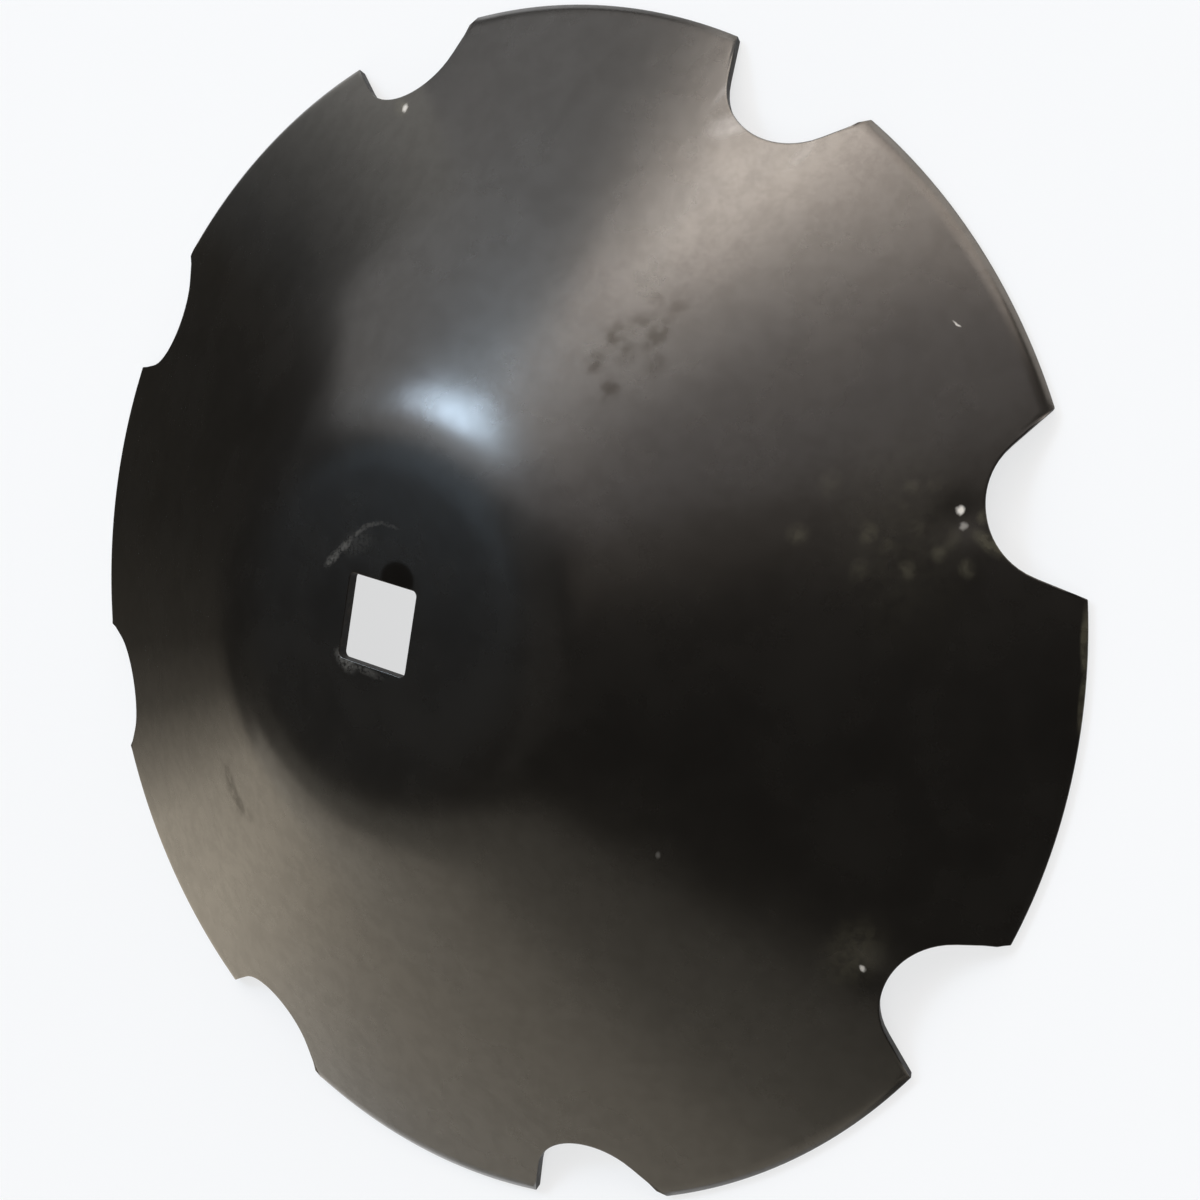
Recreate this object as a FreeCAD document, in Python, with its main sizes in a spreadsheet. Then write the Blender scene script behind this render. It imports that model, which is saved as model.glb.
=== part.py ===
"""Notched disc blade for a disc harrow, one pressed steel plate.

A round blank is pressed to a dish with a flat centre and a sloping flank. The rim has a shallow
bevel on its convex side, round-bottomed notches divide it into teeth, and a square hole in the
centre takes the gang's axle. The blade lies with its rim down and its convex side up: Z is its
axis, z = 0 is the plane that the teeth rest on, and the hole's sides run along X and Y.
Lengths are in millimetres and angles in degrees.
"""

import FreeCAD
import Part
import Sketcher
import os
from enum import IntEnum
from math import cos, radians, sin, tan

# Driving sizes of the blade, each written once.
SIZES = {
    # Outside diameter over the teeth.
    "disc_diameter": 560.0,
    "plate_thickness": 5.0,
    # Diameter at which the planes of the flat centre and the flank would meet.
    "centre_flat_diameter": 180.0,
    # Slope of the flank below the flat centre.
    "flank_angle": 26.0,
    # Outer radius of the bend between the flat centre and the flank.
    "shoulder_radius": 75.0,
    # The bevel on the convex side of the rim: its width along the flank and its depth at the edge.
    "bevel_width": 4.0,
    "bevel_depth": 1.0,
    "notch_count": 8,
    # A notch is measured along the flank: from the rim to the bottom of its arc.
    "notch_depth": 35.0,
    "notch_bottom_radius": 31.0,
    # Angle by which each side of a notch leans away from the notch's middle line.
    "notch_flare_angle": 32.0,
    # The square axle hole, across its flats, and the radius in its corners.
    "hole_side": 38.0,
    "hole_corner_radius": 2.5,
}

# How far a cut reaches past the plate on each side, in plate thicknesses.
CUT_REACH = 3


class Spot(IntEnum):
    """A line's or an arc's points, as a sketch numbers them."""

    START = 1
    END = 2
    CENTRE = 3


class Axis(IntEnum):
    """A sketch's own axes, as it numbers them. Its origin is the start of its X axis."""

    X_AXIS = -1
    Y_AXIS = -2


START, END, CENTRE = Spot
X_AXIS, Y_AXIS = Axis
ORIGIN_GEO = X_AXIS


def point(x, y):
    """A point in a sketch."""
    return FreeCAD.Vector(x, y, 0)


def segment(x1, y1, x2, y2):
    """A straight line in a sketch."""
    return Part.LineSegment(point(x1, y1), point(x2, y2))


def arc(x, y, radius, start_degrees, end_degrees):
    """An arc in a sketch, drawn anticlockwise about its centre."""
    circle = Part.Circle(point(x, y), FreeCAD.Vector(0, 0, 1), radius)
    return Part.ArcOfCircle(circle, radians(start_degrees), radians(end_degrees))


def fill_sheet(doc):
    """The spreadsheet of driving sizes, one alias a row."""
    sheet = doc.addObject("Spreadsheet::Sheet", "sizes")
    for row, (alias, value) in enumerate(SIZES.items(), start=1):
        sheet.set(f"A{row}", alias.replace("_", " "))
        sheet.set(f"B{row}", f"{value:g}")
        sheet.setAlias(f"B{row}", alias)
    doc.recompute()
    return sheet


def origin_feature(body, role):
    """One of the body's own origin planes or axes."""
    return next(item for item in body.Origin.OriginFeatures if item.Role == role)


def add_sketch(body, name, plane_role):
    """An empty sketch on one of the body's origin planes."""
    sketch = body.newObject("Sketcher::SketchObject", name)
    sketch.AttachmentSupport = [(origin_feature(body, plane_role), "")]
    sketch.MapMode = "FlatFace"
    return sketch


def relate(sketch, *relations):
    """Add geometric constraints, each given as its kind and its arguments."""
    for relation in relations:
        sketch.addConstraint(Sketcher.Constraint(*relation))


def size(sketch, name, expression, *relation):
    """Add a named dimension and bind it to the spreadsheet."""
    index = sketch.addConstraint(Sketcher.Constraint(*relation))
    sketch.renameConstraint(index, name)
    sketch.setExpression(f"Constraints.{name}", expression)


def draw_section(body, sizes):
    """Half of the dish's section, to be turned about the vertical axis.

    The outer line runs from the axis over the flat centre, round the shoulder, down the flank and
    over the bevel. The rim's edge is square to the flank, and the inner line runs back one plate
    thickness below the outer one.
    """
    slope = radians(sizes.flank_angle)
    thickness = sizes.plate_thickness
    flat = sizes.centre_flat_diameter / 2
    radius = sizes.shoulder_radius
    rim_x = sizes.disc_diameter / 2
    edge_z = (thickness - sizes.bevel_depth) * cos(slope)
    crest_x = rim_x + sizes.bevel_depth * sin(slope)
    crest_z = thickness * cos(slope)
    top = crest_z + (crest_x - flat) * tan(slope)
    bend_x = flat - radius * tan(slope / 2)
    bend_z = top - radius
    foot_x = crest_x - thickness * sin(slope)
    inner_radius = radius - thickness
    bevel_x = crest_x - sizes.bevel_width * cos(slope)
    bevel_z = crest_z + sizes.bevel_width * sin(slope)
    outer_bend = (bend_x + radius * sin(slope), bend_z + radius * cos(slope))
    inner_bend = (bend_x + inner_radius * sin(slope), bend_z + inner_radius * cos(slope))

    sketch = add_sketch(body, "dish_section", "XZ_Plane")
    lines = [
        segment(0, top, bend_x, top),
        arc(bend_x, bend_z, radius, 90 - sizes.flank_angle, 90),
        segment(*outer_bend, bevel_x, bevel_z),
        segment(bevel_x, bevel_z, rim_x, edge_z),
        segment(rim_x, edge_z, foot_x, 0),
        segment(foot_x, 0, *inner_bend),
        arc(bend_x, bend_z, inner_radius, 90 - sizes.flank_angle, 90),
        segment(bend_x, top - thickness, 0, top - thickness),
        segment(0, top - thickness, 0, top),
    ]
    outer_flat, outer_arc, flank, bevel, edge, inner_flank, inner_arc, inner_flat, axis = (
        sketch.addGeometry(line, False) for line in lines
    )
    corner = sketch.addGeometry(Part.Point(point(flat, top)), True)
    relate(
        sketch,
        ("Tangent", outer_flat, END, outer_arc, END),
        ("Tangent", outer_arc, START, flank, START),
        ("Coincident", flank, END, bevel, START),
        ("Coincident", bevel, END, edge, START),
        ("Coincident", edge, END, inner_flank, START),
        ("Tangent", inner_flank, END, inner_arc, START),
        ("Tangent", inner_arc, END, inner_flat, START),
        ("Coincident", inner_flat, END, axis, START),
        ("Coincident", axis, END, outer_flat, START),
        ("Horizontal", outer_flat),
        ("Horizontal", inner_flat),
        ("PointOnObject", axis, START, Y_AXIS),
        ("PointOnObject", axis, END, Y_AXIS),
        ("Perpendicular", flank, edge),
        ("Parallel", flank, inner_flank),
        ("Coincident", outer_arc, CENTRE, inner_arc, CENTRE),
        ("PointOnObject", edge, END, X_AXIS),
        ("PointOnObject", corner, START, outer_flat),
        ("PointOnObject", corner, START, flank),
    )
    size(sketch, "slope", "-sizes.flank_angle", "Angle", flank, -slope)
    size(sketch, "flat_reach", "sizes.centre_flat_diameter / 2",
         "DistanceX", ORIGIN_GEO, START, corner, START, flat)
    size(sketch, "bend", "sizes.shoulder_radius", "Radius", outer_arc, radius)
    size(sketch, "rim_reach", "sizes.disc_diameter / 2",
         "DistanceX", ORIGIN_GEO, START, edge, START, rim_x)
    size(sketch, "thickness", "sizes.plate_thickness", "Distance", edge, END, flank, thickness)
    size(sketch, "edge_height", "sizes.plate_thickness - sizes.bevel_depth",
         "Distance", edge, thickness - sizes.bevel_depth)
    size(sketch, "bevel_reach", "sizes.bevel_width",
         "Distance", flank, END, edge, sizes.bevel_width)
    return sketch


def press_dish(body, section):
    """The dish, turned from its section about the vertical axis."""
    dish = body.newObject("PartDesign::Revolution", "pressed_dish")
    dish.Profile = section
    dish.ReferenceAxis = (section, ["V_Axis"])
    dish.Angle = 360
    section.Visibility = False
    return dish


def draw_notch(body, sizes):
    """One notch, drawn on the plane of the flank where the notch is.

    The sketch's origin is where that plane meets the rim's edge. X runs outwards down the flank
    and Y along the rim, so the notch's bottom lies at x = -notch_depth.
    """
    flare = radians(sizes.notch_flare_angle)
    radius = sizes.notch_bottom_radius
    centre_x = radius - sizes.notch_depth
    mouth_x = CUT_REACH * sizes.plate_thickness
    side_x = centre_x - radius * sin(flare)
    side_y = radius * cos(flare)
    mouth_y = side_y + (mouth_x - side_x) * tan(flare)

    sketch = add_sketch(body, "notch_outline", "XY_Plane")
    crest = "(sizes.disc_diameter / 2 + sizes.bevel_depth * sin(sizes.flank_angle * 1 deg))"
    turn = "180 / sizes.notch_count"
    sketch.setExpression(
        "AttachmentOffset",
        f"placement(vector({crest} * cos({turn} * 1 deg); {crest} * sin({turn} * 1 deg); "
        "sizes.plate_thickness * cos(sizes.flank_angle * 1 deg)); "
        f"rotation({turn}; sizes.flank_angle; 0))",
    )
    lines = [
        segment(mouth_x, -mouth_y, side_x, -side_y),
        arc(centre_x, 0, radius, 90 + sizes.notch_flare_angle, 270 - sizes.notch_flare_angle),
        segment(side_x, side_y, mouth_x, mouth_y),
        segment(mouth_x, mouth_y, mouth_x, -mouth_y),
    ]
    right, bottom, left, mouth = (sketch.addGeometry(line, False) for line in lines)
    relate(
        sketch,
        ("Tangent", right, END, bottom, END),
        ("Tangent", bottom, START, left, START),
        ("Coincident", left, END, mouth, START),
        ("Coincident", mouth, END, right, START),
        ("PointOnObject", bottom, CENTRE, X_AXIS),
        ("Symmetric", left, END, right, START, X_AXIS),
    )
    size(sketch, "bottom_radius", "sizes.notch_bottom_radius", "Radius", bottom, radius)
    size(sketch, "centre_reach", "sizes.notch_bottom_radius - sizes.notch_depth",
         "DistanceX", ORIGIN_GEO, START, bottom, CENTRE, centre_x)
    size(sketch, "flare", "sizes.notch_flare_angle", "Angle", left, flare)
    size(sketch, "mouth_reach", f"{CUT_REACH} * sizes.plate_thickness",
         "DistanceX", ORIGIN_GEO, START, mouth, START, mouth_x)
    return sketch


def cut_notches(body, outline):
    """The first notch, cut square to the flank, and the ring of all the notches."""
    notch = body.newObject("PartDesign::Pocket", "notch")
    notch.Profile = outline
    notch.Type = "Length"
    notch.SideType = "Symmetric"
    notch.setExpression("Length", f"{2 * CUT_REACH} * sizes.plate_thickness")
    outline.Visibility = False
    ring = body.newObject("PartDesign::PolarPattern", "notch_ring")
    ring.Originals = [notch]
    ring.Axis = (origin_feature(body, "Z_Axis"), [""])
    ring.Angle = 360
    ring.setExpression("Occurrences", "sizes.notch_count")
    body.Tip = ring
    return ring


def draw_hole(body, sizes):
    """The square axle hole with its rounded corners, centred on the axis."""
    half = sizes.hole_side / 2
    radius = sizes.hole_corner_radius
    straight = half - radius

    sketch = add_sketch(body, "axle_hole_outline", "XY_Plane")
    east = sketch.addGeometry(segment(half, -straight, half, straight), False)
    north_east = sketch.addGeometry(arc(straight, straight, radius, 0, 90), False)
    north = sketch.addGeometry(segment(straight, half, -straight, half), False)
    north_west = sketch.addGeometry(arc(-straight, straight, radius, 90, 180), False)
    west = sketch.addGeometry(segment(-half, straight, -half, -straight), False)
    south_west = sketch.addGeometry(arc(-straight, -straight, radius, 180, 270), False)
    south = sketch.addGeometry(segment(-straight, -half, straight, -half), False)
    south_east = sketch.addGeometry(arc(straight, -straight, radius, 270, 360), False)
    outline = [east, north_east, north, north_west, west, south_west, south, south_east]
    following = outline[1:] + outline[:1]
    relate(sketch, *(("Tangent", here, END, after, START) for here, after in zip(outline, following)))
    corners = [north_east, north_west, south_west, south_east]
    relate(sketch, *(("Equal", north_east, corner) for corner in corners[1:]))
    relate(
        sketch,
        ("Vertical", east),
        ("Vertical", west),
        ("Horizontal", north),
        ("Horizontal", south),
        ("Symmetric", north_east, CENTRE, south_west, CENTRE, ORIGIN_GEO, START),
    )
    size(sketch, "corner", "sizes.hole_corner_radius", "Radius", north_east, radius)
    size(sketch, "half_width", "sizes.hole_side / 2",
         "DistanceX", ORIGIN_GEO, START, east, START, half)
    size(sketch, "half_height", "sizes.hole_side / 2",
         "DistanceY", ORIGIN_GEO, START, north, START, half)
    return sketch


def cut_hole(body, outline):
    """The axle hole, cut upwards from the resting plane through the flat centre."""
    hole = body.newObject("PartDesign::Pocket", "axle_hole")
    hole.Profile = outline
    hole.Type = "ThroughAll"
    hole.Reversed = True
    outline.Visibility = False
    return hole


def check_cut(before, feature):
    """Stop if a cut has left the solid as it was."""
    if not feature.Shape.Volume < before.Volume:
        raise RuntimeError(f"{feature.Name} cut nothing")


def build_blade(doc, sheet):
    """The whole blade as one body: dish, notches and axle hole."""
    body = doc.addObject("PartDesign::Body", "disc_blade")
    body.Label = "disc_blade"
    body.Placement = FreeCAD.Placement()

    dish = press_dish(body, draw_section(body, sheet))
    doc.recompute()
    ring = cut_notches(body, draw_notch(body, sheet))
    doc.recompute()
    check_cut(dish.Shape, ring)
    hole = cut_hole(body, draw_hole(body, sheet))
    doc.recompute()
    check_cut(ring.Shape, hole)
    return body


def check_document(doc, bodies):
    """Stop if a feature has failed or a body's shape can't be used."""
    for item in doc.Objects:
        if "Invalid" in item.State or "Error" in item.State:
            raise RuntimeError(f"{item.Name} failed: {item.State}")
    for body in bodies:
        shape = body.Shape
        if shape.isNull() or not shape.isValid() or len(shape.Solids) != 1:
            raise RuntimeError(f"{body.Label} has no usable solid")


def main():
    """Build the blade, check it and write its STEP file."""
    doc = FreeCAD.newDocument("notched_disc_blade")
    sheet = fill_sheet(doc)
    bodies = [build_blade(doc, sheet)]
    doc.recompute()
    check_document(doc, bodies)
    os.makedirs("parts", exist_ok=True)
    for body in bodies:
        body.Shape.exportStep(f"parts/{body.Label}.step")
        box = body.Shape.BoundBox
        print(f"{body.Label}: {box.XLength:.1f} x {box.YLength:.1f} x {box.ZLength:.1f} mm, "
              f"lowest {box.ZMin:.3f}, volume {body.Shape.Volume / 1e6:.4f} l")


main()
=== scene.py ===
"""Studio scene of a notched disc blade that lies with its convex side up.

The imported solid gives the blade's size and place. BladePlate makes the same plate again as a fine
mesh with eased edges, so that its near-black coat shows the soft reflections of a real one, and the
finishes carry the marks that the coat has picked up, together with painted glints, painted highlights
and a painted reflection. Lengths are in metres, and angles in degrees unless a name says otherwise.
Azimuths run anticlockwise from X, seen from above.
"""

import logging
import math
from dataclasses import dataclass
from enum import Enum

import bmesh
import bpy
from mathutils import Matrix, Vector

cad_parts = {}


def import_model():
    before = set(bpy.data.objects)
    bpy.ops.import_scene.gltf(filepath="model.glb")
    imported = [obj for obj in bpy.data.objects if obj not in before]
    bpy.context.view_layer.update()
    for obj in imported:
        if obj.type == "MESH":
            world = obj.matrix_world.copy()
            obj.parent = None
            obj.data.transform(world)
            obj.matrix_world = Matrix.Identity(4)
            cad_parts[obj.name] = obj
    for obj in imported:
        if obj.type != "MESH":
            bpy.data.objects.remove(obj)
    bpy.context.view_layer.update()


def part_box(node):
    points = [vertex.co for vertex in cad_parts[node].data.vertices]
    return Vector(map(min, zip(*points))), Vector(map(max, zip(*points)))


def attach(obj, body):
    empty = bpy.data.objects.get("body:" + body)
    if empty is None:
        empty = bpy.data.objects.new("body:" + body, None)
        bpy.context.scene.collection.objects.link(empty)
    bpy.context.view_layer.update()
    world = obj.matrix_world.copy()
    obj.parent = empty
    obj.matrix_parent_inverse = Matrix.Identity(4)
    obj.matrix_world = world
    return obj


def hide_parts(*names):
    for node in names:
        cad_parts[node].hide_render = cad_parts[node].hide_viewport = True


LOG = logging.getLogger("notched_disc_blade")

NODE = "disc_blade"
BODY = "root"

# A factor that takes the height out of coordinates.
ON_THE_FLOOR = (1.0, 1.0, 0.0)
# How often an interval is halved when an edge is searched.
HALVINGS = 40
# The blade rests in a dim room, and the boxes and the floor give nearly all the light.
ROOM_COLOUR = (0.042, 0.038, 0.032)

Colour = tuple[float, float, float]
# The share of each primary in how bright a colour looks.
LUMINANCE: Colour = (0.2126, 0.7152, 0.0722)


def polar(radius: float, azimuth: float, height: float = 0.0) -> Vector:
    """A point given by its distance from the blade's axis, its azimuth and its height.

    Args:
        radius: Distance from the axis.
        azimuth: Angle from X in degrees.
        height: Distance above the floor.

    Returns:
        The point.
    """
    turn = math.radians(azimuth)
    return Vector((radius * math.cos(turn), radius * math.sin(turn), height))


def direction(azimuth: float, elevation: float) -> Vector:
    """A unit vector that points to an azimuth and an elevation.

    Args:
        azimuth: Angle from X in degrees.
        elevation: Angle above the horizon in degrees.

    Returns:
        The vector.
    """
    rise = math.radians(elevation)
    return polar(math.cos(rise), azimuth, math.sin(rise))


def link(name: str, data: bpy.types.ID) -> bpy.types.Object:
    """Put new data in the scene.

    Args:
        name: The object's name.
        data: Its mesh, lamp or camera.

    Returns:
        The object.
    """
    made = bpy.data.objects.new(name, data)
    bpy.context.scene.collection.objects.link(made)
    return made


class NodeBoard:
    """The nodes of one material, with short calls for the kinds that the finishes use."""

    def __init__(self, name: str) -> None:
        """Start a material that holds only its output.

        Args:
            name: The material's name.
        """
        self.material = bpy.data.materials.new(name)
        self.material.use_nodes = True
        self.tree = self.material.node_tree
        self.tree.nodes.clear()
        self.output = self.tree.nodes.new("ShaderNodeOutputMaterial")

    def add(self, kind: str, inputs: dict | None = None, **settings: object) -> bpy.types.Node:
        """Add a node.

        Args:
            kind: The node's type.
            inputs: Values, or sockets to link from, by input name or index.
            **settings: The node's own properties.

        Returns:
            The node.
        """
        node = self.tree.nodes.new(kind)
        for key, value in settings.items():
            setattr(node, key, value)
        for key, value in (inputs or {}).items():
            if isinstance(value, bpy.types.NodeSocket):
                self.tree.links.new(value, node.inputs[key])
            else:
                node.inputs[key].default_value = value
        return node

    def math(self, operation: str, first: object, second: object) -> bpy.types.NodeSocket:
        """The result of a sum on two values.

        Args:
            operation: Blender's name for the sum.
            first: A number or a socket.
            second: A number or a socket.

        Returns:
            The result's socket.
        """
        return self.add("ShaderNodeMath", {0: first, 1: second}, operation=operation).outputs[0]

    def spread(self, value: object, low: float, high: float, to_low: float,
               to_high: float) -> bpy.types.NodeSocket:
        """Carry a value from one range to another along a smooth step.

        Args:
            value: The socket to read.
            low: Where the step begins.
            high: Where it ends.
            to_low: The result at the beginning.
            to_high: The result at the end.

        Returns:
            The result's socket.
        """
        inputs = {"Value": value, "From Min": low, "From Max": high, "To Min": to_low, "To Max": to_high}
        node = self.add("ShaderNodeMapRange", inputs, interpolation_type="SMOOTHSTEP")
        return node.outputs["Result"]

    def blend(self, share: object, first: object, second: object) -> bpy.types.NodeSocket:
        """Mix two colours.

        Args:
            share: How much of the second colour shows.
            first: A colour or a socket.
            second: A colour or a socket.

        Returns:
            The mixed colour's socket.
        """
        colours = [(*c, 1.0) if isinstance(c, tuple) else c for c in (first, second)]
        node = self.add("ShaderNodeMix", {0: share, 6: colours[0], 7: colours[1]}, data_type="RGBA")
        return node.outputs[2]

    def vector(self, operation: str, first: object, second: object) -> bpy.types.NodeSocket:
        """The result of a sum on two vectors.

        Args:
            operation: Blender's name for the sum.
            first: A vector or a socket.
            second: A vector or a socket.

        Returns:
            The result's socket.
        """
        return self.add("ShaderNodeVectorMath", {0: first, 1: second}, operation=operation).outputs[0]

    def noise(self, place: object, size: float, detail: float,
              roughness: float = 0.5) -> bpy.types.NodeSocket:
        """A cloudy pattern.

        Args:
            place: The coordinates' socket.
            size: About how large a cloud is.
            detail: How many finer layers it has.
            roughness: How strong the finer layers are.

        Returns:
            The pattern's socket, from 0 to 1.
        """
        inputs = {"Vector": place, "Scale": 1.0 / size, "Detail": detail, "Roughness": roughness}
        return self.add("ShaderNodeTexNoise", inputs).outputs[0]


@dataclass(frozen=True)
class PlateForm:
    """The blade's form: a flat centre, a shoulder bend, a straight flank, notches and a square hole."""

    rim_radius: float
    height: float
    thickness: float = 0.005
    flat_radius: float = 0.090
    flank_angle: float = 26.0
    shoulder_radius: float = 0.075
    bevel_width: float = 0.004
    bevel_depth: float = 0.001
    notch_count: int = 8
    notch_depth: float = 0.035
    notch_bottom_radius: float = 0.031
    notch_flare: float = 32.0
    hole_half: float = 0.019
    hole_corner: float = 0.0025
    bend_ease: float = 0.011
    ease_steps: int = 5

    @property
    def slope(self) -> float:
        """The flank's slope in radians."""
        return math.radians(self.flank_angle)

    @property
    def crest_radius(self) -> float:
        """Where the flank would end without its bevel."""
        return self.rim_radius + self.bevel_depth * math.sin(self.slope)

    @property
    def bevel_radius(self) -> float:
        """Where the rim's bevel begins."""
        return self.crest_radius - self.bevel_width * math.cos(self.slope)

    @property
    def bend_start(self) -> float:
        """Where the flat centre turns into the shoulder."""
        return self.flat_radius - self.shoulder_radius * math.tan(self.slope / 2)

    @property
    def bend_end(self) -> float:
        """Where the shoulder turns into the flank."""
        return self.bend_start + self.shoulder_radius * math.sin(self.slope)

    def height_at(self, radius: float) -> float:
        """The height of the convex side.

        Args:
            radius: Distance from the axis.

        Returns:
            The height above the floor.
        """
        if radius <= self.bend_start:
            return self.height
        if radius < self.bend_end:
            run = radius - self.bend_start
            return self.height - self.shoulder_radius + math.sqrt(self.shoulder_radius ** 2 - run ** 2)
        return self.height - (radius - self.flat_radius) * math.tan(self.slope)

    def soft_height_at(self, radius: float) -> float:
        """The height of the convex side with both ends of the shoulder eased, as the press leaves them.

        Args:
            radius: Distance from the axis.

        Returns:
            The height above the floor.
        """
        steps = range(-self.ease_steps, self.ease_steps + 1)
        reach = self.bend_ease / self.ease_steps
        return sum(self.height_at(radius + reach * step) for step in steps) / len(steps)

    def in_notch(self, radius: float, turn: float) -> bool:
        """Whether a point of the convex side is cut away by a notch.

        The notch is cut square to the flank at its middle line, so the point is first carried
        onto the flank's plane there.

        Args:
            radius: Distance from the axis.
            turn: Angle from the notch's middle line, in radians.

        Returns:
            True inside the notch.
        """
        out = radius * math.cos(turn) - self.crest_radius
        drop = self.height_at(radius) - self.height_at(self.crest_radius)
        along = out * math.cos(self.slope) - drop * math.sin(self.slope)
        side = radius * abs(math.sin(turn))
        centre = self.notch_bottom_radius - self.notch_depth
        flare = math.radians(self.notch_flare)
        side_start = centre - self.notch_bottom_radius * math.sin(flare)
        if along < side_start:
            return math.hypot(along - centre, side) < self.notch_bottom_radius
        half_width = self.notch_bottom_radius * math.cos(flare) + (along - side_start) * math.tan(flare)
        return side < half_width

    def rim_reach(self, turn: float) -> float:
        """How far the plate reaches beside a notch's middle line.

        Args:
            turn: Angle from the notch's middle line, in radians.

        Returns:
            The distance from the axis to the rim or to the notch's edge.
        """
        inner, outer = self.crest_radius - 2 * self.notch_depth, self.crest_radius
        if not self.in_notch(outer, turn):
            return outer
        for _ in range(HALVINGS):
            middle = (inner + outer) / 2
            if self.in_notch(middle, turn):
                outer = middle
            else:
                inner = middle
        return inner

    def notch_half_angle(self) -> float:
        """How wide a notch's mouth is at the rim.

        Returns:
            Half the angle that it takes, in radians.
        """
        inner, outer = 0.0, math.pi / self.notch_count
        for _ in range(HALVINGS):
            middle = (inner + outer) / 2
            if self.in_notch(self.crest_radius, middle):
                inner = middle
            else:
                outer = middle
        return outer

    def hole_reach(self, azimuth: float) -> float:
        """How far the square hole reaches.

        Args:
            azimuth: Angle from X, in radians.

        Returns:
            The distance from the axis to the hole's wall.
        """
        quarter = math.pi / 2
        turn = abs((azimuth + quarter / 2) % quarter - quarter / 2)
        straight = self.hole_half - self.hole_corner
        if math.tan(turn) * self.hole_half <= straight:
            return self.hole_half / math.cos(turn)
        middle = straight * (math.cos(turn) + math.sin(turn))
        return middle + math.sqrt(middle ** 2 - 2 * straight ** 2 + self.hole_corner ** 2)


@dataclass(frozen=True)
class Dent:
    """A shallow round hollow in the plate."""

    radius: float
    azimuth: float
    spread: float
    depth: float

    def drop_at(self, place: Vector) -> float:
        """How far the dent lowers a point of the plate.

        Args:
            place: The point.

        Returns:
            The drop.
        """
        gap = (place.xy - polar(self.radius, self.azimuth).xy).length / self.spread
        return self.depth * math.exp(-gap * gap / 2)


class MarkKind(Enum):
    """What a mark on the coat is: scuffs, drips, pits and tone patches of its own, and painted glints,
    painted highlights and a painted reflection.
    """

    PAINTED_GLINT = "painted_glint"
    SCUFF = "scuff"
    DRIP = "drip"
    PITS = "pits"
    BLOOM_AND_HIGHLIGHT = "bloom_and_highlight"
    PAINTED_REFLECTION = "painted_reflection"


@dataclass(frozen=True)
class Mark:
    """One mark on the coat, an ellipse with a ragged edge."""

    kind: MarkKind
    radius: float
    azimuth: float
    length: float
    width: float
    turn: float = 0.0
    strength: float = 1.0
    softness: float = 0.65


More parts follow.
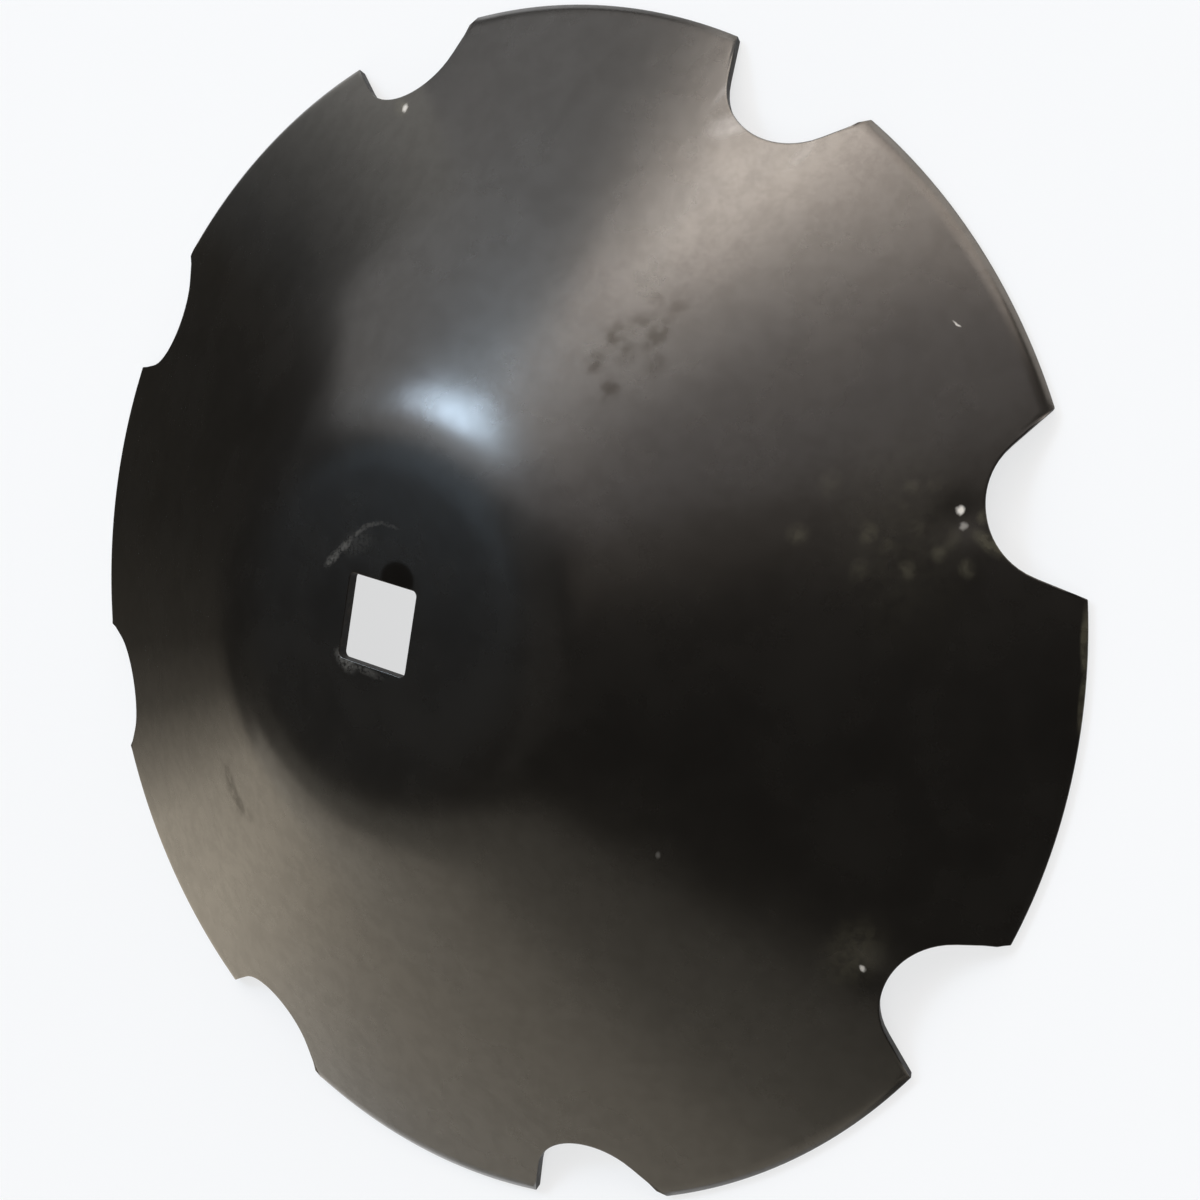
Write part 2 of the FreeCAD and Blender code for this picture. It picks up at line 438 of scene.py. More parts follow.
MARKS = (
    Mark(MarkKind.SCUFF, 0.0376, 52.5, 0.0120, 0.0042, -40.0, 1.00),
    Mark(MarkKind.SCUFF, 0.0380, 40.0, 0.0130, 0.0036, -44.0, 0.90),
    Mark(MarkKind.SCUFF, 0.0406, 27.0, 0.0140, 0.0022, -52.0, 0.75),
    Mark(MarkKind.SCUFF, 0.0432, 14.5, 0.0140, 0.0020, -70.0, 0.60),
    Mark(MarkKind.SCUFF, 0.0437, 3.0, 0.0130, 0.0020, -94.0, 0.30),
    Mark(MarkKind.SCUFF, 0.0370, 30.0, 0.0220, 0.0110, -60.0, 0.20),
    Mark(MarkKind.SCUFF, 0.0245, 143.0, 0.0140, 0.0080, 61.0, 1.00),
    Mark(MarkKind.SCUFF, 0.0214, 168.0, 0.0230, 0.0038, 84.0, 0.60),
    Mark(MarkKind.DRIP, 0.0232, -19.1, 0.0190, 0.0155, 90.0, 1.00, 0.30),
    Mark(MarkKind.PITS, 0.1428, 136.0, 0.0180, 0.0120, 8.0, 0.95, 0.95),
    Mark(MarkKind.PITS, 0.1466, 138.4, 0.0170, 0.0130, 25.0, 1.00, 0.95),
    Mark(MarkKind.PITS, 0.1478, 141.3, 0.0170, 0.0130, 50.0, 1.00, 0.95),
    Mark(MarkKind.PITS, 0.1444, 144.4, 0.0160, 0.0110, 72.0, 0.45, 0.95),
    # Pale specks that are painted glints, most of them beside the notches' bottoms.
    Mark(MarkKind.PAINTED_GLINT, 0.2414, 22.0, 0.0046, 0.0034, 30.0, 0.85),
    Mark(MarkKind.BLOOM_AND_HIGHLIGHT, 0.2425, 22.6, 0.0120, 0.0070, 60.0, 1.00, 0.90),
    Mark(MarkKind.PAINTED_GLINT, 0.2598, -50.2, 0.0040, 0.0010, 60.0, 0.80),
    Mark(MarkKind.PAINTED_GLINT, 0.2404, -66.4, 0.0036, 0.0030, 0.0, 1.00),
    Mark(MarkKind.PAINTED_GLINT, 0.2405, -67.9, 0.0034, 0.0030, 0.0, 0.30),
    Mark(MarkKind.PAINTED_GLINT, 0.2391, -113.5, 0.0030, 0.0022, 20.0, 0.70),
    Mark(MarkKind.PAINTED_GLINT, 0.1536, -114.9, 0.0028, 0.0022, 0.0, 0.10),
    Mark(MarkKind.PITS, 0.1577, -28.4, 0.0150, 0.0110, 30.0, 0.95, 0.90),
    Mark(MarkKind.PITS, 0.1690, -32.8, 0.0170, 0.0110, -20.0, 0.90, 0.90),
    Mark(MarkKind.PITS, 0.1552, -32.0, 0.0130, 0.0100, 10.0, 0.80, 0.90),
    Mark(MarkKind.PITS, 0.1459, -29.2, 0.0130, 0.0100, 0.0, 0.90, 0.90),
    Mark(MarkKind.PITS, 0.1431, -34.6, 0.0120, 0.0100, 0.0, 1.00, 0.90),
    Mark(MarkKind.PITS, 0.1808, -32.1, 0.0160, 0.0110, 30.0, 0.60, 0.90),
    Mark(MarkKind.PITS, 0.1683, -29.6, 0.0160, 0.0100, -40.0, 0.65, 0.90),
    Mark(MarkKind.PITS, 0.1625, -35.8, 0.0140, 0.0100, 0.0, 0.55, 0.90),
    Mark(MarkKind.PITS, 0.1790, -28.8, 0.0130, 0.0090, 0.0, 0.45, 0.90),
    Mark(MarkKind.BLOOM_AND_HIGHLIGHT, 0.2257, -63.3, 0.0080, 0.0060, 0.0, 0.45, 0.90),
    Mark(MarkKind.BLOOM_AND_HIGHLIGHT, 0.2339, -63.6, 0.0070, 0.0060, 40.0, 0.40, 0.90),
    Mark(MarkKind.BLOOM_AND_HIGHLIGHT, 0.2080, -67.1, 0.0120, 0.0080, 20.0, 0.50, 0.90),
    Mark(MarkKind.BLOOM_AND_HIGHLIGHT, 0.1836, -65.6, 0.0080, 0.0080, 0.0, 0.55, 0.90),
    Mark(MarkKind.BLOOM_AND_HIGHLIGHT, 0.2208, -65.0, 0.0100, 0.0060, -30.0, 0.25, 0.90),
    Mark(MarkKind.BLOOM_AND_HIGHLIGHT, 0.2245, -67.3, 0.0120, 0.0080, 0.0, 0.30, 0.90),
    Mark(MarkKind.BLOOM_AND_HIGHLIGHT, 0.2309, -70.1, 0.0080, 0.0070, 0.0, 0.60, 0.90),
    Mark(MarkKind.BLOOM_AND_HIGHLIGHT, 0.2195, -71.4, 0.0090, 0.0070, 30.0, 0.55, 0.90),
    Mark(MarkKind.BLOOM_AND_HIGHLIGHT, 0.2032, -70.8, 0.0110, 0.0080, 0.0, 0.35, 0.90),
    Mark(MarkKind.BLOOM_AND_HIGHLIGHT, 0.2398, -71.9, 0.0080, 0.0060, 20.0, 0.60, 0.90),
    Mark(MarkKind.BLOOM_AND_HIGHLIGHT, 0.2134, -68.7, 0.0100, 0.0080, 0.0, 0.30, 0.90),
    Mark(MarkKind.BLOOM_AND_HIGHLIGHT, 0.2360, -69.0, 0.0110, 0.0070, 0.0, 0.35, 0.90),
    Mark(MarkKind.BLOOM_AND_HIGHLIGHT, 0.1988, -60.7, 0.0120, 0.0090, 0.0, 0.25, 0.90),
    Mark(MarkKind.BLOOM_AND_HIGHLIGHT, 0.2200, -67.0, 0.0900, 0.0440, 20.0, 0.14, 0.95),
    # Painted highlights: a light line along a notch's edge, then light strips along the rim's bevel.
    Mark(MarkKind.BLOOM_AND_HIGHLIGHT, 0.2486, -69.9, 0.0160, 0.0060, 62.0, 0.95, 0.80),
    Mark(MarkKind.BLOOM_AND_HIGHLIGHT, 0.2478, -67.4, 0.0060, 0.0050, 0.0, 0.70, 0.80),
    Mark(MarkKind.BLOOM_AND_HIGHLIGHT, 0.2789, -78.5, 0.0260, 0.0030, 11.0, 1.00, 0.50),
    Mark(MarkKind.BLOOM_AND_HIGHLIGHT, 0.2794, -83.4, 0.0260, 0.0030, 7.0, 0.70, 0.50),
    Mark(MarkKind.BLOOM_AND_HIGHLIGHT, 0.2330, -112.5, 0.0340, 0.0200, -20.0, 0.45, 0.95),
    # Painted reflection: pale patches beside a notch, where the coat would reflect bright light.
    Mark(MarkKind.PAINTED_REFLECTION, 0.2465, -20.2, 0.0190, 0.0110, -70.0, 0.80, 0.80),
    Mark(MarkKind.PAINTED_REFLECTION, 0.2600, -17.3, 0.0200, 0.0040, -17.0, 0.50, 0.80),
    Mark(MarkKind.PAINTED_REFLECTION, 0.2535, -28.2, 0.0160, 0.0060, -28.0, 0.40, 0.90),
    Mark(MarkKind.PAINTED_REFLECTION, 0.2220, -22.5, 0.0700, 0.0280, -22.0, 0.08, 0.95),
)

DENTS = (
    Dent(0.2405, -67.2, 0.0060, 0.0006),
    Dent(0.2400, -113.3, 0.0060, 0.0005),
)


@dataclass(frozen=True)
class CoatFinish:
    """The thin near-black coat on the plate's two sides, with its marks, among them painted glints,
    painted highlights and a painted reflection.
    """

    colour: Colour = (0.0034, 0.0031, 0.0028)
    # The pale colour that paints the glints.
    painted_glint_colour: Colour = (0.60, 0.57, 0.52)
    scuff_colour: Colour = (0.075, 0.072, 0.066)
    # The colour of the blooms, tone patches in the coat, which also paints highlights on a notch's edge
    # and the rim.
    bloom_and_highlight_colour: Colour = (0.036, 0.033, 0.022)
    # The pale colour that paints the reflection beside a notch.
    painted_reflection_colour: Colour = (0.17, 0.165, 0.16)
    darkest_to_palest: float = 1.5
    gloss_tint: Colour = (1.00, 0.90, 0.78)
    roughness: float = 0.26
    top_roughness: float = 0.22
    ragged_size: float = 0.0020
    ragged_reach: float = 0.0016
    streak_size: float = 0.0016
    patch_size: float = 0.0040
    cloud_size: float = 0.0500
    grain_size: float = 0.0028
    grain_depth: float = 0.000012
    wave_size: float = 0.013
    wave_depth: float = 0.00004
    haze_size: float = 0.0100
    pit_size: float = 0.0050

    def mask(self, board: NodeBoard, place: bpy.types.NodeSocket, kind: MarkKind) -> bpy.types.NodeSocket:
        """How strongly each place carries the marks of one kind.

        Args:
            board: The material's nodes.
            place: Coordinates over the floor, with no height.
            kind: The kind of mark.

        Returns:
            The mask's socket.
        """
        total: object = 0.0
        for mark in (m for m in MARKS if m.kind is kind):
            local = board.add("ShaderNodeMapping", {
                "Vector": place,
                "Location": polar(mark.radius, mark.azimuth),
                "Rotation": (0.0, 0.0, math.radians(mark.turn)),
                "Scale": (mark.length / 2, mark.width / 2, 1.0),
            }, vector_type="TEXTURE").outputs[0]
            away = board.add("ShaderNodeVectorMath", {0: local}, operation="LENGTH").outputs["Value"]
            core = 1.0 - mark.softness
            fringe = 1.0 + mark.softness / 2
            shown = board.spread(away, core, fringe, mark.strength, 0.0)
            total = board.math("MAXIMUM", total, shown)
        return total

    def ragged(self, board: NodeBoard, place: bpy.types.NodeSocket) -> bpy.types.NodeSocket:
        """Coordinates that are pushed about a little, so that a mask drawn on them has a ragged edge.

        Args:
            board: The material's nodes.
            place: The plain coordinates.

        Returns:
            The pushed coordinates' socket.
        """
        inputs = {"Vector": place, "Scale": 1.0 / self.ragged_size, "Detail": 2.0}
        pattern = board.add("ShaderNodeTexNoise", inputs).outputs["Color"]
        push = board.vector("SUBTRACT", pattern, (0.5, 0.5, 0.5))
        push = board.add("ShaderNodeVectorMath", {0: push, "Scale": self.ragged_reach},
                         operation="SCALE").outputs[0]
        return board.vector("ADD", place, push)

    def build(self) -> bpy.types.Material:
        """Make the material.

        Returns:
            The material.
        """
        board = NodeBoard("near_black_coat")
        place = board.add("ShaderNodeTexCoord").outputs["Object"]
        level = board.vector("MULTIPLY", place, ON_THE_FLOOR)
        spot = board.vector("MULTIPLY", self.ragged(board, place), ON_THE_FLOOR)

        streaks = board.noise(place, self.streak_size, 3.0, 0.7)
        patches = board.noise(place, self.patch_size, 3.0, 0.6)
        # Painted glints: pale, rough specks beside the notches.
        painted_glint = self.mask(board, spot, MarkKind.PAINTED_GLINT)
        scuff = self.mask(board, spot, MarkKind.SCUFF)
        scuff = board.math("MULTIPLY", scuff, board.spread(streaks, 0.34, 0.62, 0.05, 1.0))
        drip = self.mask(board, level, MarkKind.DRIP)
        # Blooms are tone patches in the coat, and some of them are painted highlights on a notch's edge
        # and the rim.
        bloom_and_highlight = self.mask(board, level, MarkKind.BLOOM_AND_HIGHLIGHT)
        bloom_and_highlight = board.math("MULTIPLY", bloom_and_highlight, board.spread(patches, 0.34, 0.62, 0.45, 1.3))
        # Painted reflection: pale patches beside a notch.
        painted_reflection = self.mask(board, level, MarkKind.PAINTED_REFLECTION)
        painted_reflection = board.math("MULTIPLY", painted_reflection, board.spread(patches, 0.25, 0.75, 0.5, 1.0))

        pits = self.mask(board, level, MarkKind.PITS)
        hollows = board.spread(board.noise(place, self.pit_size, 1.0), 0.25, 0.65, 0.4, 1.0)
        pitted = board.math("MULTIPLY", pits, hollows)
        cloud = board.noise(place, self.cloud_size, 5.0, 0.6)
        grain = board.noise(place, self.grain_size, 3.0, 0.6)
        waves = board.noise(place, self.wave_size, 2.0)

        palest = tuple(self.darkest_to_palest * part for part in self.colour)
        base = board.blend(board.spread(cloud, 0.35, 0.65, 0.0, 1.0), self.colour, palest)
        base = board.blend(bloom_and_highlight, base, self.bloom_and_highlight_colour)
        base = board.blend(painted_reflection, base, self.painted_reflection_colour)
        base = board.blend(scuff, base, self.scuff_colour)
        # The painted glints go on last, pale over the rest.
        base = board.blend(painted_glint, base, self.painted_glint_colour)

        rough = board.spread(cloud, 0.3, 0.7, self.roughness - 0.03, self.roughness + 0.04)
        rough = board.math("ADD", rough, board.math("MULTIPLY", scuff, 0.15))
        rough = board.math("ADD", rough, board.math("MULTIPLY", painted_glint, 0.40))
        rough = board.math("SUBTRACT", rough, board.math("MULTIPLY", drip, 0.18))

        haze = board.noise(place, self.haze_size, 5.0, 0.8)
        coat = board.spread(haze, 0.40, 0.62, 1.0, 0.80)
        coat = board.math("MULTIPLY", coat, board.spread(drip, 0.0, 0.7, 1.0, 0.0))
        coat = board.math("MULTIPLY", coat, board.spread(pitted, 0.0, 1.0, 1.0, 0.15))
        coat = board.math("MULTIPLY", coat, board.spread(painted_glint, 0.0, 1.0, 1.0, 0.2))

        relief = board.math("MULTIPLY", grain, self.grain_depth)
        relief = board.math("ADD", relief, board.math("MULTIPLY", waves, self.wave_depth))
        bump = board.add("ShaderNodeBump", {"Strength": 1.0, "Distance": 1.0, "Height": relief})

        shader = board.add("ShaderNodeBsdfPrincipled", {
            "Base Color": base,
            "Roughness": rough,
            "Specular Tint": (*self.gloss_tint, 1.0),
            "Normal": bump.outputs[0],
            "Coat Weight": coat,
            "Coat Roughness": self.top_roughness,
            "Coat Normal": bump.outputs[0],
        })
        board.tree.links.new(shader.outputs[0], board.output.inputs[0])
        return board.material


@dataclass(frozen=True)
class CutEdgeFinish:
    """The sheared walls of the notches, the rim and the hole, coated thinly over a rougher face."""

    colour: Colour = (0.006, 0.005, 0.004)
    worn_colour: Colour = (0.030, 0.026, 0.020)
    roughness: float = 0.46
    gloss_level: float = 0.2
    streak_size: float = 0.0040
    grain_size: float = 0.0015
    grain_depth: float = 0.00012

    def build(self) -> bpy.types.Material:
        """Make the material.

        Returns:
            The material.
        """
        board = NodeBoard("sheared_edge")
        place = board.add("ShaderNodeTexCoord").outputs["Object"]
        streaks = board.noise(place, self.streak_size, 3.0, 0.65)
        worn = board.spread(streaks, 0.52, 0.72, 0.0, 0.8)
        base = board.blend(worn, self.colour, self.worn_colour)
        rough = board.spread(streaks, 0.3, 0.7, self.roughness, self.roughness + 0.15)
        relief = board.math("MULTIPLY", board.noise(place, self.grain_size, 3.0, 0.6), self.grain_depth)
        bump = board.add("ShaderNodeBump", {"Strength": 1.0, "Distance": 1.0, "Height": relief})
        shader = board.add("ShaderNodeBsdfPrincipled", {
            "Base Color": base,
            "Roughness": rough,
            "Specular IOR Level": self.gloss_level,
            "Normal": bump.outputs[0],
        })
        board.tree.links.new(shader.outputs[0], board.output.inputs[0])
        return board.material


@dataclass(frozen=True)
class BladePlate:
    """The pressed plate as one closed mesh."""

    form: PlateForm
    notch_steps: int = 16
    tooth_steps: int = 14
    hub_rings: int = 6
    bend_rings: int = 24
    flank_rings: int = 8
    notch_rings: int = 24
    bevel_rings: int = 2
    notch_zone: float = 0.205
    hole_zone: float = 0.058
    edge_ease: float = 0.0004
    ease_angle: float = 38.0
    ease_segments: int = 2
    shade_angle: float = 50.0
    wall_margin: float = 0.1

    @property
    def steps(self) -> int:
        """How many steps go round the blade."""
        return 2 * self.form.notch_count * (self.notch_steps + self.tooth_steps)

    def stations(self) -> list[float]:
        """The distances of the rings from the axis, before the hole and the notches shape them.

        Returns:
            The distances, from the hole outwards.
        """
        zones = (
            (self.form.bend_start - self.form.bend_ease, self.hub_rings),
            (self.form.bend_end + self.form.bend_ease, self.bend_rings),
            (self.notch_zone, self.flank_rings),
            (self.form.bevel_radius, self.notch_rings),
            (self.form.crest_radius, self.bevel_rings),
        )
        places = [self.form.hole_half]
        for end, rings in zones:
            start = places[-1]
            places += [start + (end - start) * (ring + 1) / rings for ring in range(rings)]
        return places

    def turn_of(self, offset: int) -> float:
        """The angle of a step from a notch's middle line.

        Args:
            offset: The step's number, counted from the notch's middle line.

        Returns:
            The angle in radians, with its sign.
        """
        half_mouth = self.form.notch_half_angle()
        half_pitch = math.pi / self.form.notch_count
        beyond = max(0, abs(offset) - self.notch_steps) / self.tooth_steps
        within = min(abs(offset), self.notch_steps) / self.notch_steps
        return math.copysign(half_mouth * within + (half_pitch - half_mouth) * beyond, offset)

    def sheet(self) -> bmesh.types.BMesh:
        """The convex side as an open sheet, fitted to the hole and the notches.

        Returns:
            The sheet's mesh.
        """
        form = self.form
        places = self.stations()
        mesh = bmesh.new()
        ends = [mesh.verts.new((places[0], 0.0, 0.0)), mesh.verts.new((places[-1], 0.0, 0.0))]
        edge = mesh.edges.new(ends)
        bmesh.ops.subdivide_edges(mesh, edges=[edge], cuts=len(places) - 2)
        for vert, place in zip(sorted(mesh.verts, key=lambda v: v.co.x), places):
            vert.co.x = place
        bmesh.ops.spin(mesh, geom=mesh.verts[:] + mesh.edges[:], cent=(0, 0, 0), axis=(0, 0, 1),
                       angle=math.tau, steps=self.steps, use_merge=True)

        half_pitch = self.notch_steps + self.tooth_steps
        turns = [self.turn_of(offset) for offset in range(-half_pitch, half_pitch)]
        rims = [form.rim_reach(turn) for turn in turns]
        for vert in mesh.verts:
            station = vert.co.xy.length
            step = round(math.atan2(vert.co.y, vert.co.x) / math.tau * self.steps)
            place = step % (2 * half_pitch)
            azimuth = (step - place + half_pitch) / self.steps * math.tau + turns[place]
            outward = max(0.0, station - self.notch_zone) / (form.crest_radius - self.notch_zone)
            inward = max(0.0, self.hole_zone - station) / (self.hole_zone - form.hole_half)
            radius = station + outward * (rims[place] - form.crest_radius)
            radius += inward * (form.hole_reach(azimuth) - form.hole_half)
            vert.co = polar(radius, math.degrees(azimuth), form.soft_height_at(radius))
            vert.co.z -= sum(dent.drop_at(vert.co) for dent in DENTS)
        bmesh.ops.recalc_face_normals(mesh, faces=mesh.faces[:])
        if sum(face.normal.z for face in mesh.faces) < 0:
            bmesh.ops.reverse_faces(mesh, faces=mesh.faces[:])
        return mesh

    def thicken(self, mesh: bmesh.types.BMesh) -> None:
        """Give the sheet the plate's thickness, bevel the rim and ease the edges.

        Args:
            mesh: The sheet, which becomes the closed plate.
        """
        form = self.form
        bmesh.ops.solidify(mesh, geom=mesh.faces[:], thickness=form.thickness)
        mesh.normal_update()
        steepest_side = math.cos(form.slope) / 2 + self.wall_margin
        for face in mesh.faces:
            face.smooth = True
            face.material_index = 1 if abs(face.normal.z) < steepest_side else 0

        down = -form.bevel_depth
        for vert in mesh.verts:
            radius = vert.co.xy.length
            on_top = vert.co.z > form.height_at(radius) - form.thickness / 2
            if on_top and radius > form.bevel_radius:
                share = (radius - form.bevel_radius) / (form.crest_radius - form.bevel_radius)
                outward = Vector((vert.co.x / radius, vert.co.y / radius, 0.0)) * math.sin(form.slope)
                vert.co += (outward + Vector((0.0, 0.0, math.cos(form.slope)))) * down * share

        sharp = [e for e in mesh.edges
                 if len(e.link_faces) == 2 and e.calc_face_angle() > math.radians(self.ease_angle)]
        bmesh.ops.bevel(mesh, geom=sharp, offset=self.edge_ease, offset_type="OFFSET",
                        segments=self.ease_segments, profile=0.5, affect="EDGES", clamp_overlap=True,
                        material=-1)

    def build(self, finishes: tuple[bpy.types.Material, ...]) -> bpy.types.Object:
        """Make the plate's object.

        Args:
            finishes: The coat and the sheared edge's material.

        Returns:
            The object.
        """
        mesh = self.sheet()
        self.thicken(mesh)
        data = bpy.data.meshes.new("blade_plate")
        mesh.to_mesh(data)
        mesh.free()
        data.set_sharp_from_angle(angle=math.radians(self.shade_angle))
        for finish in finishes:
            data.materials.append(finish)
        plate = link("blade_plate", data)
        weights = plate.modifiers.new("even_shading", "WEIGHTED_NORMAL")
        weights.keep_sharp = True
        return plate


@dataclass(frozen=True)
class StudioFloor:
    """The plain pale floor that the blade lies on."""

    radius: float = 12.0
    sides: int = 64
    colour: Colour = (0.84, 0.85, 0.86)
    pale_colour: Colour = (0.97, 0.975, 0.98)
    pale_share: float = 0.7

    def build(self) -> bpy.types.Object:
        """Make the floor's object.

        Returns:
            The object.
        """
        mesh = bmesh.new()
        bmesh.ops.create_circle(mesh, cap_ends=True, segments=self.sides, radius=self.radius)
        data = bpy.data.meshes.new("floor")
        mesh.to_mesh(data)
        mesh.free()
        board = NodeBoard("floor_paint")
        paint = board.add("ShaderNodeBsdfDiffuse", {"Color": (*self.colour, 1.0)})
        glow = board.add("ShaderNodeEmission", {"Color": (*self.pale_colour, 1.0), "Strength": 1.0})
        rays = board.add("ShaderNodeLightPath").outputs
        seen = board.math("MAXIMUM", rays["Is Camera Ray"], rays["Is Glossy Ray"])
        seen = board.math("MAXIMUM", seen, rays["Is Transmission Ray"])
        share = board.math("MULTIPLY", seen, self.pale_share)
        mixed = board.add("ShaderNodeMixShader", {0: share, 1: paint.outputs[0], 2: glow.outputs[0]})
        board.tree.links.new(mixed.outputs[0], board.output.inputs[0])
        data.materials.append(board.material)
        return link("floor", data)


@dataclass(frozen=True)
class SoftLamp:
    """A softbox far off that faces the blade, placed and measured by the angles it is seen under."""

    name: str
    azimuth: float
    elevation: float
    width: float
    height: float
    radiance: float
    colour: Colour
    is_round: bool = False
    in_gloss: bool = True
    distance: float = 20.0

    def build(self) -> bpy.types.Object:
        """Make the lamp's object.

        Returns:
            The object.
        """
        data = bpy.data.lights.new(self.name, "AREA")
        data.shape = "ELLIPSE" if self.is_round else "RECTANGLE"
        data.size = 2 * self.distance * math.tan(math.radians(self.width / 2))
        data.size_y = 2 * self.distance * math.tan(math.radians(self.height / 2))
        area = data.size * data.size_y * (math.pi / 4 if self.is_round else 1.0)
        share = sum(part * weight for part, weight in zip(self.colour, LUMINANCE))
        data.energy = self.radiance * math.pi * area / share
        data.color = self.colour
        lamp = link(self.name, data)
        away = direction(self.azimuth, self.elevation)
        lamp.location = away * self.distance
        lamp.rotation_euler = away.to_track_quat("Z", "Y").to_euler()
        lamp.visible_camera = False
        lamp.visible_glossy = self.in_gloss
        return lamp


LAMPS = (
    SoftLamp("cool_box", 51.4, 45.2, 14.5, 19.1, 4.80, (0.60, 0.78, 1.00), is_round=True),
    SoftLamp("cool_core", 44.0, 48.8, 15.8, 13.2, 9.00, (0.57, 0.77, 1.00), is_round=True),
    SoftLamp("cool_strip", 62.3, 57.8, 45.3, 10.4, 0.74, (0.60, 0.79, 1.00)),
    SoftLamp("key", -3.8, 35.8, 47.6, 22.6, 2.88, (1.00, 0.90, 0.82)),
    SoftLamp("upper_key", 11.1, 39.4, 12.6, 7.9, 5.20, (1.00, 0.93, 0.86)),
    SoftLamp("low_key", -25.5, 12.5, 90.0, 23.0, 2.38, (1.00, 0.95, 0.90)),
    SoftLamp("slot", -50.4, 65.7, 12.6, 33.9, 0.21, (1.00, 0.90, 0.80)),
    SoftLamp("back_card", 162.3, 16.1, 82.3, 25.1, 0.71, (1.00, 0.92, 0.78)),
    SoftLamp("upper_back_card", 163.4, 38.5, 75.0, 21.5, 0.34, (1.00, 0.95, 0.82)),
    SoftLamp("side_card", 36.6, 37.2, 62.9, 49.7, 0.73, (1.00, 0.99, 0.99)),
    SoftLamp("high_card", 16.2, 60.7, 65.5, 26.8, 0.73, (1.00, 0.96, 0.98)),
    SoftLamp("dome_card", 110.0, 77.0, 46.0, 24.0, 0.075, (1.00, 0.97, 0.90)),
    SoftLamp("floor_fill", -100.0, 62.0, 50.0, 40.0, 1.55, (0.94, 0.97, 1.00), in_gloss=False),
)


@dataclass(frozen=True)
class GradedCard:
    """A low curved card round one side of the blade, dark in its middle, that shows in the coat alone.

    Each tone is an azimuth, how bright the card is there, and how much it hides there.
    """

    radius: float = 0.286
    foot_height: float = 0.0005
    height: float = 0.100
    steps: int = 100
    first_azimuth: float = 25.0
    last_azimuth: float = 205.0
    ramp_margin: float = 0.001
    cool_until: float = 60.0
    cool_tone: Colour = (1.00, 0.98, 0.93)
    warm_tone: Colour = (1.00, 0.89, 0.72)
    tones: tuple[tuple[float, float, float], ...] = (
        (25.0, 0.76, 1.0), (30.0, 0.67, 1.0), (40.0, 0.30, 1.0), (46.0, 0.17, 1.0), (52.0, 0.09, 1.0),
        (60.0, 0.04, 1.0), (70.0, 0.028, 1.0), (92.0, 0.028, 1.0), (108.0, 0.05, 1.0), (116.0, 0.12, 1.0),
        (122.0, 0.32, 1.0), (129.0, 0.66, 1.0), (140.0, 0.84, 1.0), (150.0, 0.82, 0.95),
        (162.0, 0.76, 0.70), (175.0, 0.70, 0.35), (190.0, 0.62, 0.08), (205.0, 0.58, 0.0),
    )

    def colour_at(self, azimuth: float, radiance: float,
                  cover: float) -> tuple[float, float, float, float]:
        """The card's light at one place.

        Args:
            azimuth: The place, in degrees.
            radiance: How bright it is there.
            cover: How much it hides there.

        Returns:
            The light's colour, with the cover as its alpha.
        """
        tone = self.cool_tone if azimuth < self.cool_until else self.warm_tone
        return (*(radiance * part for part in tone), cover)

    def build(self) -> bpy.types.Object:
        """Make the card's object.

        Returns:
            The object.
        """
        mesh = bmesh.new()
        foot = mesh.verts.new(polar(self.radius, self.first_azimuth, self.foot_height))
        head = mesh.verts.new(polar(self.radius, self.first_azimuth, self.height))
        edge = mesh.edges.new((foot, head))
        sweep = self.last_azimuth - self.first_azimuth
        bmesh.ops.spin(mesh, geom=[foot, head, edge], cent=(0, 0, 0), axis=(0, 0, 1),
                       angle=math.radians(sweep), steps=self.steps)
        data = bpy.data.meshes.new("graded_card")
        mesh.to_mesh(data)
        mesh.free()

        board = NodeBoard("graded_card")
        place = board.add("ShaderNodeTexCoord").outputs["Object"]
        axes = board.add("ShaderNodeSeparateXYZ", {0: place}).outputs
        across = board.math("MULTIPLY", axes[0], -1.0)
        along = board.math("MULTIPLY", axes[1], -1.0)
        turn = board.math("ADD", board.math("ARCTAN2", along, across), math.pi)
        share = board.math("SUBTRACT", turn, math.radians(self.first_azimuth))
        share = board.math("DIVIDE", share, math.radians(sweep))
        ramp = board.add("ShaderNodeValToRGB", {0: share})
        stops = ramp.color_ramp.elements
        for azimuth, radiance, cover in self.tones:
            place_on_ramp = (azimuth - self.first_azimuth) / sweep
            stop = stops.new(min(max(place_on_ramp, self.ramp_margin), 1.0 - self.ramp_margin))
            stop.color = self.colour_at(azimuth, radiance, cover)
        stops.remove(stops[-1])
        stops.remove(stops[0])
        glow = board.add("ShaderNodeEmission", {"Color": ramp.outputs[0], "Strength": 1.0})
        clear = board.add("ShaderNodeBsdfTransparent")
        inputs = {0: ramp.outputs[1], 1: clear.outputs[0], 2: glow.outputs[0]}
        mixed = board.add("ShaderNodeMixShader", inputs)
        board.tree.links.new(mixed.outputs[0], board.output.inputs[0])
        data.materials.append(board.material)
        card = link("graded_card", data)
        card.visible_camera = False
        card.visible_diffuse = False
        card.visible_transmission = False
        card.visible_shadow = False
        return card


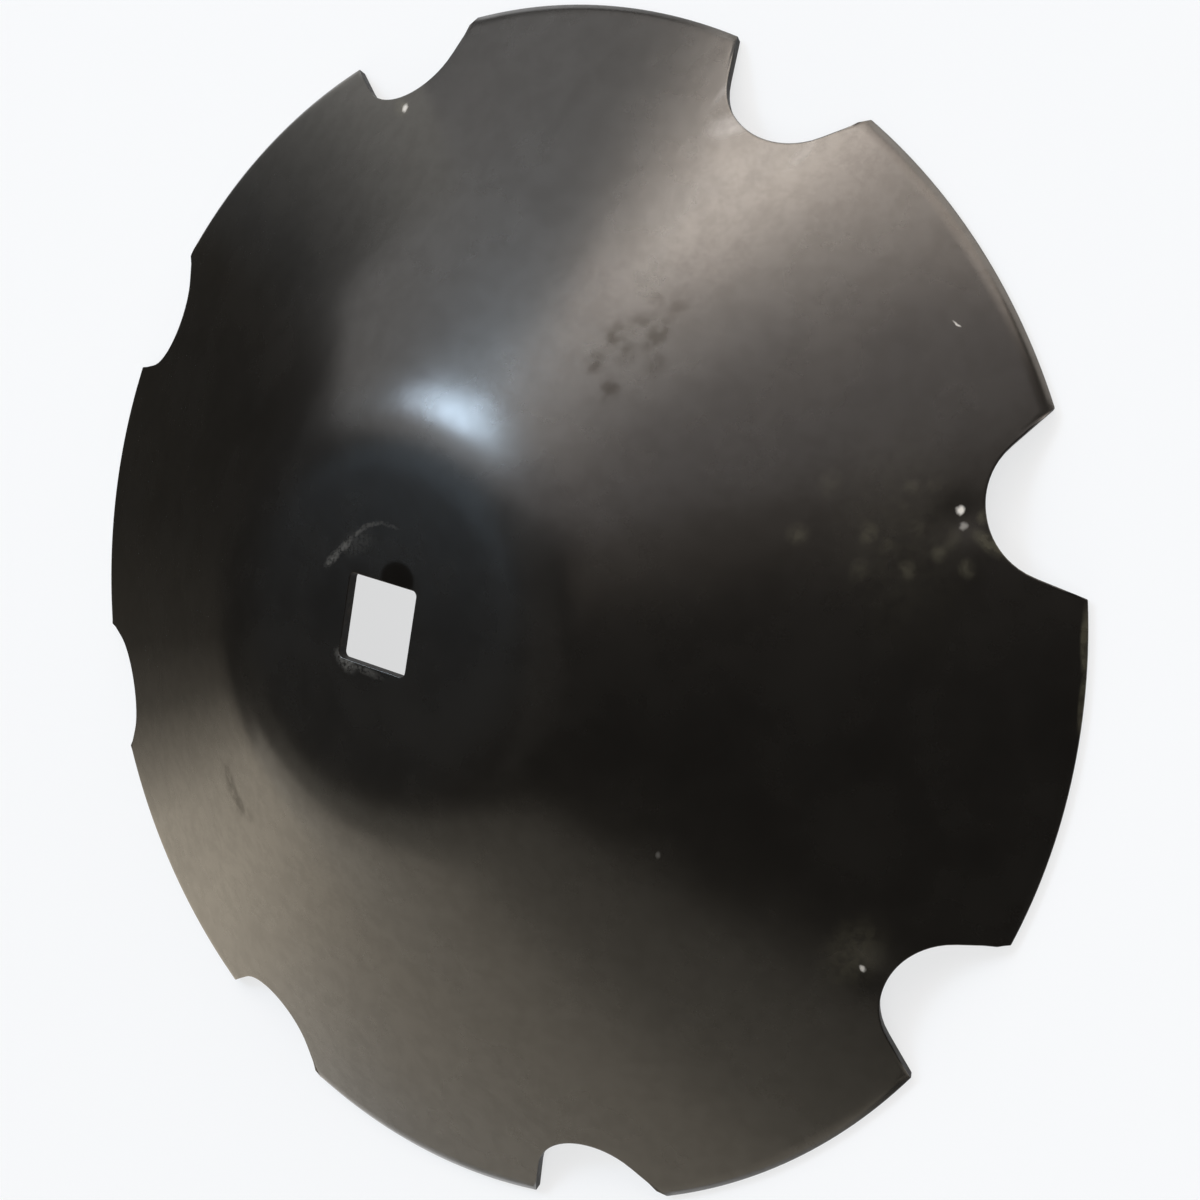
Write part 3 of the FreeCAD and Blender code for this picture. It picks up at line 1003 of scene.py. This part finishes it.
@dataclass(frozen=True)
class Viewpoint:
    """The photograph's camera: it looks down on the blade and is turned on its side."""

    azimuth: float = -71.451
    elevation: float = 56.049
    roll: float = -95.874
    distance: float = 0.7926
    lens: float = 51.516
    aim: tuple[float, float, float] = (0.0170, -0.0483, 0.0)

    def build(self) -> bpy.types.Object:
        """Make the camera and use it.

        Returns:
            The camera's object.
        """
        back = direction(self.azimuth, self.elevation)
        level = Vector((0.0, 0.0, 1.0)).cross(back).normalized()
        upright = back.cross(level)
        roll = math.radians(self.roll)
        right = level * math.cos(roll) + upright * math.sin(roll)
        up = back.cross(right)
        data = bpy.data.cameras.new("photo_camera")
        data.lens = self.lens
        camera = link("photo_camera", data)
        camera.matrix_world = matrix_of(right, up, back, Vector(self.aim) + back * self.distance)
        bpy.context.scene.camera = camera
        return camera


def matrix_of(right: Vector, up: Vector, back: Vector, place: Vector) -> Matrix:
    """The matrix of an object from its axes and its place.

    Args:
        right: Its X axis.
        up: Its Y axis.
        back: Its Z axis.
        place: Its origin.

    Returns:
        The matrix.
    """
    rows = [(right[i], up[i], back[i], place[i]) for i in range(3)]
    return Matrix((*rows, (0.0, 0.0, 0.0, 1.0)))


def set_world(colour: Colour) -> None:
    """Surround the studio with one plain colour.

    Args:
        colour: The colour, which is also how bright it is.
    """
    world = bpy.data.worlds.new("studio")
    world.use_nodes = True
    background = world.node_tree.nodes["Background"]
    background.inputs["Color"].default_value = (*colour, 1.0)
    background.inputs["Strength"].default_value = 1.0
    bpy.context.scene.world = world


def main() -> None:
    """Build the blade and its studio, and log each piece."""
    logging.basicConfig(level=logging.INFO, format="%(name)s: %(message)s")
    bpy.context.scene.view_settings.view_transform = "Standard"
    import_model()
    low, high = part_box(NODE)
    form = PlateForm(rim_radius=(high.x - low.x) / 2, height=high.z)

    plate = BladePlate(form).build((CoatFinish().build(), CutEdgeFinish().build()))
    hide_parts(NODE)
    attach(plate, BODY)
    LOG.info("%s: %d vertices", plate.name, len(plate.data.vertices))

    for piece in (StudioFloor().build(), GradedCard().build()):
        LOG.info("%s: %d vertices", piece.name, len(piece.data.vertices))
    for lamp in LAMPS:
        lamp.build()
        LOG.info("%s: radiance %.2f", lamp.name, lamp.radiance)
    set_world(ROOM_COLOUR)
    Viewpoint().build()


if __name__ == "__main__":
    main()
